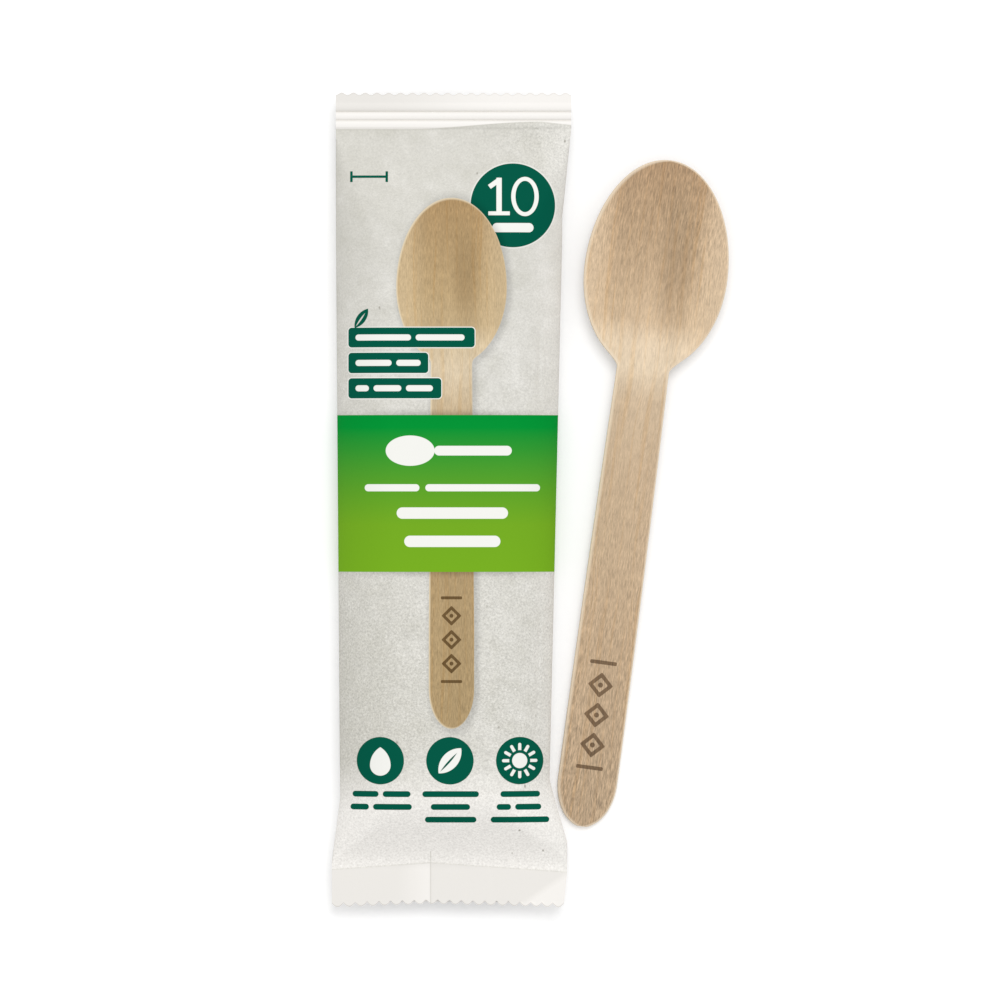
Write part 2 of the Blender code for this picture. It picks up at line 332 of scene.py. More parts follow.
def add(tree, kind, inputs, output=0, **settings):
    """A shader node with its settings and inputs: sockets are linked, and numbers are set."""
    node = tree.nodes.new("ShaderNode" + kind)
    for name, value in settings.items():
        setattr(node, name, value)
    for socket, value in inputs.items():
        if isinstance(value, bpy.types.NodeSocket):
            tree.links.new(value, node.inputs[socket])
        else:
            node.inputs[socket].default_value = value
    return node.outputs[output]


def calc(tree, operation, *values):
    return add(tree, "Math", dict(enumerate(values)), operation=operation)


def vector(tree, operation, *values, output=0):
    return add(tree, "VectorMath", dict(enumerate(values)), output, operation=operation)


def split(tree, point):
    return add(tree, "SeparateXYZ", {"Vector": point}).node.outputs


def ramp(tree, value, low, high, start=0.0, end=1.0, smooth=False):
    """Start at low and end at high, and level beyond them."""
    places = {"Value": value, "From Min": low, "From Max": high, "To Min": start, "To Max": end}
    return add(tree, "MapRange", places, interpolation_type="SMOOTHSTEP" if smooth else "LINEAR")


def over(tree, below, above, cover):
    """One ink or tone laid over another, where cover is 1."""
    return add(tree, "Mix", {0: cover, 6: below, 7: above}, 2, data_type="RGBA")


def tones(tree, value, stops):
    """A colour that passes through the stops as the value goes from 0 to 1."""
    passing = tree.nodes.new("ShaderNodeValToRGB")
    marks = passing.color_ramp.elements
    for place, colour in stops[1:-1]:
        marks.new(place)
    for mark, (place, colour) in zip(marks, stops):
        mark.position = place
        mark.color = linear(*colour)
    tree.links.new(value, passing.inputs[0])
    return passing.outputs[0]


def grains(tree, place, scale, detail=2.0, roughness=0.5):
    """Even noise of 0 to 1, where scale is how many times it turns in a millimetre."""
    inputs = {"Vector": place, "Scale": scale, "Detail": detail, "Roughness": roughness}
    return add(tree, "TexNoise", inputs)


def effect(name, inputs, outputs):
    """An empty shader group with its named sockets."""
    tree = bpy.data.node_groups.new(name, "ShaderNodeTree")
    for label, kind in inputs.items():
        tree.interface.new_socket(label, in_out="INPUT", socket_type="NodeSocket" + kind)
    for label in outputs:
        tree.interface.new_socket(label, in_out="OUTPUT", socket_type="NodeSocketFloat")
    given = tree.nodes.new("NodeGroupInput").outputs
    made = tree.nodes.new("NodeGroupOutput").inputs
    return tree, given, made


def linear(red, green, blue):
    """A colour of 0 to 255 as the shaders take it."""
    levels = [level / 255 for level in (red, green, blue)]
    levels = [v / 12.92 if v < 0.04045 else ((v + 0.055) / 1.055) ** 2.4 for v in levels]
    return (*levels, 1)


# The inks are laid down with crisp edges, in simple shapes.

INK_EDGE = 0.07


def cover_from(tree, distance):
    """1 inside a shape and 0 outside, from the distance to its edge."""
    return ramp(tree, distance, -INK_EDGE / 2, INK_EDGE / 2, 1.0, 0.0)


def make_bar_shape():
    sockets = {"Place": "Vector", "Centre": "Vector", "Half": "Vector", "Corner": "Float"}
    tree, given, made = effect("printed_bar", sockets, ["Cover"])
    away = vector(tree, "ABSOLUTE", vector(tree, "SUBTRACT", given["Place"], given["Centre"]))
    past = vector(tree, "ADD", vector(tree, "SUBTRACT", away, given["Half"]), given["Corner"])
    reach = vector(tree, "LENGTH", vector(tree, "MAXIMUM", past, (0, 0, 0)), output=1)
    tree.links.new(cover_from(tree, calc(tree, "SUBTRACT", reach, given["Corner"])), made["Cover"])
    return tree


def make_disc_shape():
    sockets = {"Place": "Vector", "Centre": "Vector", "Radius": "Float"}
    tree, given, made = effect("printed_disc", sockets, ["Cover"])
    reach = vector(tree, "DISTANCE", given["Place"], given["Centre"], output=1)
    tree.links.new(cover_from(tree, calc(tree, "SUBTRACT", reach, given["Radius"])), made["Cover"])
    return tree


def make_leaf_shape():
    """Where two discs overlap; Side is how far each one's centre lies from the middle."""
    sockets = {"Place": "Vector", "Centre": "Vector", "Side": "Vector", "Radius": "Float"}
    tree, given, made = effect("printed_leaf", sockets, ["Cover"])
    away = vector(tree, "SUBTRACT", given["Place"], given["Centre"])
    one = vector(tree, "DISTANCE", away, given["Side"], output=1)
    other = vector(tree, "LENGTH", vector(tree, "ADD", away, given["Side"]), output=1)
    reach = calc(tree, "SUBTRACT", calc(tree, "MAXIMUM", one, other), given["Radius"])
    tree.links.new(cover_from(tree, reach), made["Cover"])
    return tree


BAR, DISC, LEAF = make_bar_shape(), make_disc_shape(), make_leaf_shape()
DEEP = 50


def bar(tree, place, x, y, width, height, corner=None):
    corner = min(width, height) / 2 if corner is None else corner
    half = (width / 2, height / 2, DEEP)
    inputs = {"Place": place, "Centre": (x, y, 0), "Half": half, "Corner": corner}
    return add(tree, "Group", inputs, node_tree=BAR)


def disc(tree, place, x, y, radius):
    return add(tree, "Group", {"Place": place, "Centre": (x, y, 0), "Radius": radius}, node_tree=DISC)


def oval(tree, place, x, y, width, height):
    from_middle = vector(tree, "SUBTRACT", place, (x, y, 0))
    squeezed = vector(tree, "MULTIPLY", from_middle, (height / width, 1, 1))
    return disc(tree, squeezed, 0, 0, height / 2)


def leaf(tree, place, x, y, length, width, turn):
    """A leaf of two arcs; turn is its long axis's angle from +x, in degrees."""
    radius = (length**2 + width**2) / (4 * width)
    apart = radius - width / 2
    across = math.radians(turn + 90)
    side = (apart * math.cos(across), apart * math.sin(across), 0)
    inputs = {"Place": place, "Centre": (x, y, 0), "Side": side, "Radius": radius}
    return add(tree, "Group", inputs, node_tree=LEAF)


def turned(tree, place, x, y, turn):
    """The place as it is seen from a point by someone who has turned to the left by some degrees."""
    moved = vector(tree, "SUBTRACT", place, (x, y, 0))
    inputs = {"Vector": moved, "Angle": math.radians(-turn)}
    return add(tree, "VectorRotate", inputs, rotation_type="Z_AXIS")


def together(tree, *covers):
    """All shapes as one."""
    whole = covers[0]
    for cover in covers[1:]:
        whole = calc(tree, "MAXIMUM", whole, cover)
    return whole


FLECK_SHIFT, SPECK_SHIFT = (60, 0, 0), (4, 2, 0)
FLECK_LIMITS = (0.52, 0.72)
SPECK_CORE, SPECK_EDGE = 0.03, 0.07
SPECK_STRETCH, FIBRE_STRETCH = (1.0, 0.6, 1.0), (1.0, 0.35, 1.0)


def make_paper_grain():
    """Fibres, clouds and specks of machine-made paper, from a place in millimetres."""
    outputs = ["Cloud", "Grain", "Fleck", "Speck", "Height"]
    tree, given, made = effect("paper_grain", {"Place": "Vector"}, outputs)
    place = given["Place"]
    cloud = grains(tree, place, scale=0.16, detail=4.0, roughness=0.62)
    tree.links.new(cloud, made["Cloud"])
    fine = grains(tree, place, scale=2.1, roughness=0.85)
    tree.links.new(fine, made["Grain"])
    pale = grains(tree, vector(tree, "ADD", place, FLECK_SHIFT), scale=1.7, roughness=0.7)
    tree.links.new(ramp(tree, pale, *FLECK_LIMITS), made["Fleck"])
    long = vector(tree, "MULTIPLY", vector(tree, "ADD", place, SPECK_SHIFT), SPECK_STRETCH)
    spots = add(tree, "TexVoronoi", {"Vector": long, "Scale": 0.2, "Randomness": 1.0})
    tree.links.new(ramp(tree, spots, SPECK_CORE, SPECK_EDGE, 1.0, 0.0), made["Speck"])
    slant = vector(tree, "MULTIPLY", place, FIBRE_STRETCH)
    fibres = grains(tree, slant, scale=2.2, roughness=0.6)
    tree.links.new(calc(tree, "ADD", fine, fibres), made["Height"])
    return tree


PAPER_GRAIN = make_paper_grain()

# The figures of the wood: how often each turns in a millimetre across, along and into the sheet,
# and the detail and roughness of its noise. Two of them show only beyond a limit.
BIRCH_FIGURES = {
    "Band": ((0.2, 0.014, 0.1), 2.0, 0.5),
    "Warm": ((0.8, 0.016, 0.1), 2.0, 0.6),
    "Fibre": ((3.4, 0.42, 0.6), 2.5, 0.75),
    "Pore": ((4.5, 0.9, 1.0), 1.0, 0.5),
    "Figure": ((0.42, 0.24, 0.1), 2.0, 0.6),
}
FIGURE_LIMITS = {"Warm": (0.52, 0.66), "Pore": (0.6, 0.72)}
SWAY_TURNS = (0.06, 0.02, 0)
SWAY = 1.5


def make_birch_grain():
    """The look of rotary-cut birch: Place is in millimetres, with the grain along y.

    The sheet is cut before it is pressed, so the grain hardly changes with depth.
    """
    tree, given, made = effect("birch_grain", {"Place": "Vector"}, BIRCH_FIGURES)
    bent = grains(tree, vector(tree, "MULTIPLY", given["Place"], SWAY_TURNS), 1.0)
    sway = add(tree, "CombineXYZ", {"X": ramp(tree, bent, 0.2, 0.8, -SWAY, SWAY)})
    place = vector(tree, "ADD", given["Place"], sway)
    for label, (turns, detail, roughness) in BIRCH_FIGURES.items():
        figure = grains(tree, vector(tree, "MULTIPLY", place, turns), 1.0, detail, roughness)
        if label in FIGURE_LIMITS:
            figure = ramp(tree, figure, *FIGURE_LIMITS[label])
        tree.links.new(figure, made[label])
    return tree


BIRCH_GRAIN = make_birch_grain()

MARK_LOW, MARK_HIGH = 14.2, 39.4
MARK_WIDTH, MARK_BAR = 6.4, 0.9
MARK_CORNER, HOLE_CORNER = 0.3, 0.2
LOZENGE_STEP = 7.2
LOZENGE_SIDE, LOZENGE_HOLE = 4.3, 2.5
LOZENGE_DOT = 0.6
MARK_DEPTH = 0.5


def make_burnt_mark():
    """Three lozenges between two bars, burnt into a handle's face, which lies at height 0."""
    tree, given, made = effect("burnt_mark", {"Place": "Vector"}, ["Cover"])
    flat = vector(tree, "MULTIPLY", given["Place"], (1, 1, 0))
    ends = (MARK_LOW, MARK_HIGH)
    shapes = [bar(tree, flat, 0, y, MARK_WIDTH, MARK_BAR, MARK_CORNER) for y in ends]
    for step in (-1, 0, 1):
        y = sum(ends) / 2 + step * LOZENGE_STEP
        slanting = turned(tree, flat, 0, y, 45)
        outer = bar(tree, slanting, 0, 0, LOZENGE_SIDE, LOZENGE_SIDE, MARK_CORNER)
        inner = bar(tree, slanting, 0, 0, LOZENGE_HOLE, LOZENGE_HOLE, HOLE_CORNER)
        shapes.append(calc(tree, "SUBTRACT", outer, inner))
        shapes.append(disc(tree, flat, 0, y, LOZENGE_DOT))
    height = split(tree, given["Place"])["Z"]
    upper_side = ramp(tree, height, -MARK_DEPTH - 0.1, -MARK_DEPTH)
    tree.links.new(calc(tree, "MULTIPLY", together(tree, *shapes), upper_side), made["Cover"])
    return tree


BURNT_MARK = make_burnt_mark()

BIRCH_LENGTH = 160  # from the handle's end to the bowl's tip
BIRCH_SWINGS = {"Band": 0.14, "Fibre": 0.4, "Figure": 0.08}
COARSE_END, COARSE_TIP = (95.0, 5.0), (115.0, 157.0)
TIP_SHARE = 0.7
WARM_BIRCH = (0.98, 0.92, 0.83)
PORE_DARKNESS = 0.1
SCORCHED = (0.34, 0.29, 0.23)


def lay_birch(tree, own, ground, coarser):
    """The wood's figure and its burnt mark over a ground tone.

    The fibres are this much coarser at the handle's end, and less so at the bowl's tip.
    """
    wood = add(tree, "Group", {"Place": own}, node_tree=BIRCH_GRAIN).node.outputs
    along = split(tree, own)["Y"]
    at_end = ramp(tree, along, *COARSE_END, 0.0, coarser)
    at_tip = ramp(tree, along, *COARSE_TIP, 0.0, coarser * TIP_SHARE)
    for figure, swing in BIRCH_SWINGS.items():
        if figure == "Fibre":
            swing = calc(tree, "ADD", calc(tree, "MAXIMUM", at_end, at_tip), swing)
        turns = calc(tree, "MULTIPLY_ADD", wood[figure], 2.0, -1.0)
        ground = vector(tree, "MULTIPLY", ground, calc(tree, "MULTIPLY_ADD", turns, swing, 1.0))
    warm = vector(tree, "MULTIPLY", ground, WARM_BIRCH)
    ground = over(tree, ground, warm, wood["Warm"])
    pores = ramp(tree, wood["Pore"], 0.0, 1.0, 1.0, 1 - PORE_DARKNESS)
    ground = vector(tree, "MULTIPLY", ground, pores)
    mark = add(tree, "Group", {"Place": own}, node_tree=BURNT_MARK)
    return over(tree, ground, vector(tree, "MULTIPLY", ground, SCORCHED), mark), wood, mark


# The print. The field behind the print is a pale mottled grey, and the seals stay white. Painted shade
# darkens the field at the left and towards both ends, and painted light brightens it along the right
# side fold. It is coarser towards the lower end, where it fades to near white, partly as print and
# partly as painted light.

DARK_GREEN = linear(2, 88, 69)
WHITE_INK = linear(245, 245, 240)
SEAL_WHITE = linear(250, 247, 243)
SEAL_GREY = linear(234, 231, 226)
SEAL_SHADE = linear(222, 219, 213)
CUT_EDGE_SHADOW = linear(196, 193, 188)
FIELD_GREY = linear(221, 219, 212)
FIELD_SHADE = linear(203, 201, 191)
FIELD_LIGHT = linear(240, 238, 233)
FIELD_FOOT_LIGHT = linear(246, 243, 238)
SPECK_GREY = linear(150, 146, 136)

SQUARE = 0.1  # the corner of a bar with square ends
UPPER_SEAL_GREYS = (0.9, 0.1)
LOWER_SEAL_GREY = 0.85
# How much painted light lies beside the fin's edge and on the bent corner of the lower seal.
PAINTED_LIGHT_COVER = 0.5
CORNER_SOFTNESS = 1.4
GROOVE_SHADE_COVER = 0.4
LOWER_CUT_SHADOW, UPPER_CUT_SHADOW = 0.6, 0.25
CUT_REACH = 0.45

TOP_EDGE = 88.2
TOP_EDGE_RISE, TOP_EDGE_DROP = 1.75, 0.8
LOW_EDGE = BOTTOM_SEAM + 1.5
LOW_EDGE_FALL = 0.07
PRINT_EDGE_LINE = 0.45
EDGE_LINE_COVER, STEP_SHADE_COVER = 0.35, 0.5

# Washes over the field: what each one follows, its tone, where it starts and where it is full,
# how much it then covers, and whether it starts and ends softly.
FIELD_MIDDLE = 22.0
SHADED_SPOT = (-24, -48, 0)
FOOT = (-60.0, -76.0)
FIELD_WASHES = [
    ("cloud", FIELD_SHADE, 0.5, 0.75, 0.7, False),
    ("cloud", FIELD_LIGHT, 0.46, 0.28, 0.6, False),
    # Painted shade at the left side.
    ("x", FIELD_SHADE, -4.0, -26.0, 0.25, True),
    # Painted shade towards both ends of the body.
    ("off middle", FIELD_SHADE, 22.0, 52.0, 0.25, True),
    ("from shaded spot", FIELD_SHADE, 30.0, 5.0, 0.5, True),
    # Towards the lower end the field fades to near white, partly print and partly painted light.
    ("y", FIELD_FOOT_LIGHT, *FOOT, 1.0, True),
    # Painted light along the right side fold.
    ("x", FIELD_LIGHT, 19.0, 27.0, 0.45, False),
]

# The paper's grain grows coarser from the first of these places to the second.
COARSENING = (60.0, -30.0)
FLECK_COVERS = (0.1, 0.4)
GRAIN_SWINGS = (0.42, 1.0)
FOOT_SWING = 0.72
COARSE_SPOT = (24, 86, 0)
SPECK_COVER = 0.8


def lay_seals(tree, place):
    """White seals: greyer at the left of the upper one, with painted light beside the fin's edge below.
    """
    parts = split(tree, place)
    x, y = parts["X"], parts["Y"]
    flat_from = TOP_SEAM + (RIB_COUNT - 1) * RIB_PITCH
    fade = ramp(tree, x, -20.0, 14.0, *UPPER_SEAL_GREYS, smooth=True)
    upper = calc(tree, "MULTIPLY", fade, ramp(tree, y, flat_from - 0.2, flat_from + 0.2))
    # Painted light: a lighter strip left of the fin's folded edge, where the paper slopes towards the
    # lamp.
    gloss = ramp(tree, x, FIN_LEFT - 8, FIN_LEFT - 1, 0.0, PAINTED_LIGHT_COVER)
    lit_strip = calc(tree, "MULTIPLY", gloss, ramp(tree, x, FIN_LEFT, FIN_LEFT + 0.2, 1.0, 0.0))
    lower = calc(tree, "SUBTRACT", LOWER_SEAL_GREY, lit_strip)
    # Painted light on the bent-up right corner of the lower seal.
    across = Vector((-LIFTED_ALONG.y, LIFTED_ALONG.x, 0))
    start = across.dot(LIFTED_FROM.to_3d())
    beyond = vector(tree, "DOT_PRODUCT", place, across, output=1)
    corner = ramp(tree, beyond, start, start + CORNER_SOFTNESS, 0.0, PAINTED_LIGHT_COVER)
    lower = calc(tree, "SUBTRACT", lower, corner)
    at_top = ramp(tree, y, -1.0, 1.0)
    grey = add(tree, "Mix", {0: at_top, 2: lower, 3: upper})
    seal = over(tree, SEAL_WHITE, SEAL_GREY, grey)
    # Painted shade along the crease at the fin's step.
    crease_shade = bar(tree, place, FIN_LEFT, -END + 6, 0.26, 12, SQUARE)
    seal = over(tree, seal, SEAL_SHADE, crease_shade)
    # Painted shade in the grooves between the ribs of the upper seal.
    into = calc(tree, "SUBTRACT", y, TOP_SEAM)
    wave = calc(tree, "COSINE", calc(tree, "MULTIPLY", into, 2 * math.pi / RIB_PITCH))
    groove = ramp(tree, wave, 0.0, 1.0, 0.0, GROOVE_SHADE_COVER)
    last = (RIB_COUNT - 0.5) * RIB_PITCH
    ribbed = calc(tree, "MULTIPLY", at_top, ramp(tree, into, last, last - RIB_PITCH / 10))
    seal = over(tree, seal, SEAL_SHADE, calc(tree, "MULTIPLY", groove, ribbed))
    # Painted shadow along the cut edge, darker at the lower end.
    from_cut = add(tree, "Attribute", {}, 2, attribute_name="from_cut")
    darkest = ramp(tree, y, -1.0, 1.0, LOWER_CUT_SHADOW, UPPER_CUT_SHADOW)
    return over(tree, seal, CUT_EDGE_SHADOW, ramp(tree, from_cut, 0.0, CUT_REACH, darkest, 0.0))


def lay_field(tree, place, grain):
    """The mottled field with its painted light and shade, and white seals beyond its slightly bowed
    edges.
    """
    parts = split(tree, place)
    x, y = parts["X"], parts["Y"]
    followed = {
        "cloud": grain["Cloud"],
        "x": x,
        "y": y,
        "off middle": calc(tree, "ABSOLUTE", calc(tree, "SUBTRACT", y, FIELD_MIDDLE)),
        "from shaded spot": vector(tree, "DISTANCE", place, SHADED_SPOT, output=1),
    }
    field = FIELD_GREY
    for what, tone, start, full, cover, smooth in FIELD_WASHES:
        wash = ramp(tree, followed[what], start, full, 0.0, cover, smooth)
        field = over(tree, field, tone, wash)
    flecks = calc(tree, "MULTIPLY", grain["Fleck"], ramp(tree, y, *COARSENING, *FLECK_COVERS))
    field = over(tree, field, FIELD_LIGHT, flecks)
    swing = ramp(tree, y, *COARSENING, *GRAIN_SWINGS)
    swing = calc(tree, "MULTIPLY", swing, ramp(tree, y, *FOOT, 1.0, FOOT_SWING))
    near = ramp(tree, vector(tree, "DISTANCE", place, COARSE_SPOT, output=1), 18.0, 4.0, 0.0, 0.5)
    swing = calc(tree, "ADD", swing, near)
    fine = calc(tree, "MULTIPLY_ADD", calc(tree, "SUBTRACT", grain["Grain"], 0.5), swing, 1.0)
    field = vector(tree, "MULTIPLY", field, fine)
    field = over(tree, field, SPECK_GREY, calc(tree, "MULTIPLY", grain["Speck"], SPECK_COVER))
    rise = ramp(tree, x, -10.0, 21.0, TOP_EDGE, TOP_EDGE + TOP_EDGE_RISE, smooth=True)
    rise = calc(tree, "SUBTRACT", rise, ramp(tree, x, 22.0, 29.0, 0.0, TOP_EDGE_DROP))
    under_top = calc(tree, "SUBTRACT", rise, y)
    from_step = calc(tree, "ABSOLUTE", calc(tree, "SUBTRACT", x, FIN_LEFT))
    fall = calc(tree, "MULTIPLY_ADD", from_step, -LOW_EDGE_FALL, LOW_EDGE)
    inside = calc(tree, "MINIMUM", under_top, calc(tree, "SUBTRACT", y, fall))
    line = ramp(tree, inside, PRINT_EDGE_LINE, PRINT_EDGE_LINE / 2, 0.0, EDGE_LINE_COVER)
    # Painted shade along the fin's step, where it runs up into the field.
    step = bar(tree, place, FIN_LEFT, BOTTOM_SEAM, 0.3, 9.0)
    line = calc(tree, "MAXIMUM", line, calc(tree, "MULTIPLY", step, STEP_SHADE_COVER))
    field = over(tree, field, FIELD_SHADE, line)
    return over(tree, lay_seals(tree, place), field, ramp(tree, inside, -0.1, 0.1))


BAND_TOP, BAND_BOTTOM = 20.15, -17.05
BAND_TONES = [
    (0.0, (120, 175, 34)),
    (0.3, (117, 172, 36)),
    (0.5, (96, 164, 41)),
    (0.78, (50, 153, 50)),
    (0.92, (2, 148, 54)),
    (1.0, (0, 146, 54)),
]

PICTURE_SIZE = 0.787  # of the pictured spoon beside a real one
PICTURE_X, PICTURE_FOOT = 0.5, -54.2
PICTURE_WIDEST = 133.0
PICTURE_HALF = 16.65
TIP_REACH, NECK_REACH = 27.0, 23.5  # from the bowl's widest place to both of its ends
PICTURE_TAPER = (30.0, 111.0)
PICTURE_HANDLE, PICTURE_NECK = 6.85, 6.2
PICTURE_END = 12.0
PICTURE_FILLET = 1.6
PICTURE_HOLLOW = linear(166, 140, 102)
PICTURE_SIDE = linear(218, 196, 159)
PICTURE_EDGE = linear(232, 217, 188)
PICTURE_TONES = [
    (0.0, (176, 152, 113)),
    (0.35, (180, 155, 116)),
    (0.56, (192, 168, 132)),
    (0.67, (222, 204, 175)),
    (0.725, (216, 196, 163)),
    (0.76, (196, 172, 133)),
    (0.82, (192, 166, 125)),
    (1.0, (174, 144, 103)),
]


def pictured_spoon(tree, place):
    """Distance to the outline of the pictured spoon, and the place on it in its own millimetres."""
    moved = vector(tree, "SUBTRACT", place, (PICTURE_X, PICTURE_FOOT, 0))
    own = vector(tree, "DIVIDE", moved, (PICTURE_SIZE, PICTURE_SIZE, 1))
    parts = split(tree, own)
    across, along = parts["X"], parts["Y"]
    from_widest = calc(tree, "SUBTRACT", along, PICTURE_WIDEST)
    up = calc(tree, "DIVIDE", calc(tree, "MAXIMUM", from_widest, 0.0), TIP_REACH)
    down = calc(tree, "DIVIDE", calc(tree, "MINIMUM", from_widest, 0.0), NECK_REACH)
    wide = calc(tree, "DIVIDE", across, PICTURE_HALF)
    share = add(tree, "CombineXYZ", {"X": wide, "Y": calc(tree, "ADD", up, down)})
    past_rim = calc(tree, "SUBTRACT", vector(tree, "LENGTH", share, output=1), 1.0)
    bowl = calc(tree, "MULTIPLY", past_rim, PICTURE_HALF)
    half = ramp(tree, along, *PICTURE_TAPER, PICTURE_HANDLE, PICTURE_NECK)
    below_end = calc(tree, "MINIMUM", calc(tree, "SUBTRACT", along, PICTURE_END), 0.0)
    drawn = calc(tree, "MULTIPLY", below_end, PICTURE_HANDLE / PICTURE_END)
    end = add(tree, "CombineXYZ", {"X": across, "Y": drawn})
    handle = calc(tree, "SUBTRACT", vector(tree, "LENGTH", end, output=1), half)
    handle = calc(tree, "MAXIMUM", handle, from_widest)
    outline = calc(tree, "SMOOTH_MIN", bowl, handle, PICTURE_FILLET)
    return calc(tree, "MULTIPLY", outline, PICTURE_SIZE), own, across, along


def lay_pictured_spoon(tree, place, ink):
    """The picture of a spoon with its soft shadow and a pale edge at the upper left."""
    distance, own, across, along = pictured_spoon(tree, place)
    fallen, _, _, _ = pictured_spoon(tree, vector(tree, "ADD", place, (-0.5, 0.4, 0)))
    shade = ramp(tree, fallen, 1.7, -0.5, 1.0, 0.72, smooth=True)
    ink = vector(tree, "MULTIPLY", ink, shade)
    ground = tones(tree, calc(tree, "DIVIDE", along, BIRCH_LENGTH), PICTURE_TONES)
    patch = vector(tree, "DIVIDE", vector(tree, "SUBTRACT", own, (4.3, 138, 0)), (4, 13, 1))
    hollow = ramp(tree, vector(tree, "LENGTH", patch, output=1), 1.6, 0.2, 0.0, 0.75, smooth=True)
    ground = over(tree, ground, PICTURE_HOLLOW, hollow)
    side = ramp(tree, calc(tree, "ABSOLUTE", across), 6.0, 15.0, 0.0, 0.5, smooth=True)
    ground = over(tree, ground, PICTURE_SIDE, side)
    colour, _, _ = lay_birch(tree, own, ground, 0.25)
    inner, _, _, _ = pictured_spoon(tree, vector(tree, "ADD", place, (-0.16, 0.12, 0)))
    pale = calc(tree, "MULTIPLY", ramp(tree, inner, -0.3, 0.0), 0.8)
    colour = over(tree, colour, PICTURE_EDGE, pale)
    return over(tree, ink, colour, cover_from(tree, distance))


BADGE_X, BADGE_Y, BADGE_RADIUS = 15.06, 69.95, 10.03
DIGIT_Y, DIGIT_HEIGHT = 72.05, 9.0
ONE_X, NOUGHT_X = 11.78, 17.93


def lay_badge(tree, place, ink):
    """A round badge with the number of spoons in the pack, in plain strokes."""
    rim = disc(tree, place, BADGE_X, BADGE_Y, BADGE_RADIUS + 0.3)
    ink = over(tree, ink, WHITE_INK, calc(tree, "MULTIPLY", rim, 0.6))
    ink = over(tree, ink, DARK_GREEN, disc(tree, place, BADGE_X, BADGE_Y, BADGE_RADIUS))
    one = bar(tree, place, ONE_X, DIGIT_Y, 1.27, DIGIT_HEIGHT, SQUARE)
    foot = bar(tree, place, ONE_X, DIGIT_Y - DIGIT_HEIGHT / 2 + 0.46, 5.1, 0.93, SQUARE)
    slanting = turned(tree, place, ONE_X - 1.05, DIGIT_Y + 3.2, 36)
    flag = bar(tree, slanting, 0, 0, 3.1, 1.15, SQUARE)
    hole = oval(tree, place, NOUGHT_X, DIGIT_Y, 4.5, 7.5)
    nought = calc(tree, "SUBTRACT", oval(tree, place, NOUGHT_X, DIGIT_Y, 6.54, 9.42), hole)
    word = bar(tree, place, BADGE_X, 64.6, 9.8, 2.2)
    return over(tree, ink, WHITE_INK, together(tree, one, foot, flag, nought, word))


LABEL_LEFT = -24.0
LABELS = [
    (38.55, 30.0, 4.7, (13.2, 11.6)),
    (32.52, 19.0, 4.85, (8.6, 5.8)),
    (26.5, 22.1, 4.8, (3.2, 6.6, 6.4)),
]
WORD_GAP = 1.1


def words(tree, place, left, y, lengths, height, gap=WORD_GAP):
    """A line of dashes that stands where a line of words would."""
    dashes = []
    for length in lengths:
        dashes.append(bar(tree, place, left + length / 2, y, length, height))
        left += length + gap
    return together(tree, *dashes)


def lay_labels(tree, place, ink):
    """Three green labels with a thin white edge, and a leaf on top."""
    for y, width, height, lengths in LABELS:
        x = LABEL_LEFT + width / 2
        ink = over(tree, ink, WHITE_INK, bar(tree, place, x, y, width + 0.4, height + 0.4, 1.0))
        ink = over(tree, ink, DARK_GREEN, bar(tree, place, x, y, width, height, 0.8))
        ink = over(tree, ink, WHITE_INK, words(tree, place, LABEL_LEFT + 1.7, y, lengths, 1.45))
    blade = leaf(tree, place, -20.9, 43.1, 5.6, 2.2, 55)
    vein = leaf(tree, place, -21.1, 42.8, 3.8, 0.35, 55)
    return over(tree, ink, DARK_GREEN, calc(tree, "SUBTRACT", blade, vein))


BAND_SHADES = (0.68, 0.9)  # of the shadow round the band, in the middle and at the sides
BAND_SHADOW = 1.8
BAND_SPOON_Y = 11.7
BAND_LINES = [(-3.1, 26.4), (-9.8, 22.8)]


def lay_band(tree, place, ink):
    """The green band that runs round the pack, with a soft shadow that is darkest in the middle."""
    parts = split(tree, place)
    x, y = parts["X"], parts["Y"]
    middle = (BAND_TOP + BAND_BOTTOM) / 2
    half = (BAND_TOP - BAND_BOTTOM) / 2
    beyond = calc(tree, "ABSOLUTE", calc(tree, "SUBTRACT", y, middle))
    darkest = ramp(tree, calc(tree, "ABSOLUTE", x), 9.0, 24.0, *BAND_SHADES, smooth=True)
    shade = ramp(tree, beyond, half + BAND_SHADOW, half - 0.2, 1.0, darkest, smooth=True)
    ink = vector(tree, "MULTIPLY", ink, shade)
    green = tones(tree, ramp(tree, y, BAND_BOTTOM, BAND_TOP), BAND_TONES)
    return over(tree, ink, green, bar(tree, place, 0, middle, 200, 2 * half, SQUARE))


def lay_band_motifs(tree, place, ink):
    """A plain white spoon lying across the band, and dashes of two sizes below it."""
    bowl = oval(tree, place, -9.3, BAND_SPOON_Y, 11.6, 7.2)
    handle = bar(tree, place, 5.6, BAND_SPOON_Y, 18.4, 2.3)
    small = words(tree, place, -20.1, 2.9, (13.0, 27.2), 1.7, 1.4)
    large = [bar(tree, place, 0.7, y, length, 2.7) for y, length in BAND_LINES]
    return over(tree, ink, WHITE_INK, together(tree, bowl, handle, small, *large))


DISC_Y, DISC_RADIUS = -61.8, 5.62
DISC_X = (-16.38, 0.13, 16.68)
SUN_RAYS = (0, 30, 60, 90, 120, 150)
CAPTIONS = [
    [(-69.7, -23.0, (6.2, 6.6)), (-72.75, -23.5, (4.4, 9.2))],
    [(-69.7, -6.4, (13.4,)), (-72.75, -4.4, (9.3,)), (-75.8, -5.8, (12.2,))],
    [(-69.7, 12.1, (9.4,)), (-72.75, 11.2, (3.4, 6.2)), (-75.8, 9.8, (13.9,))],
]


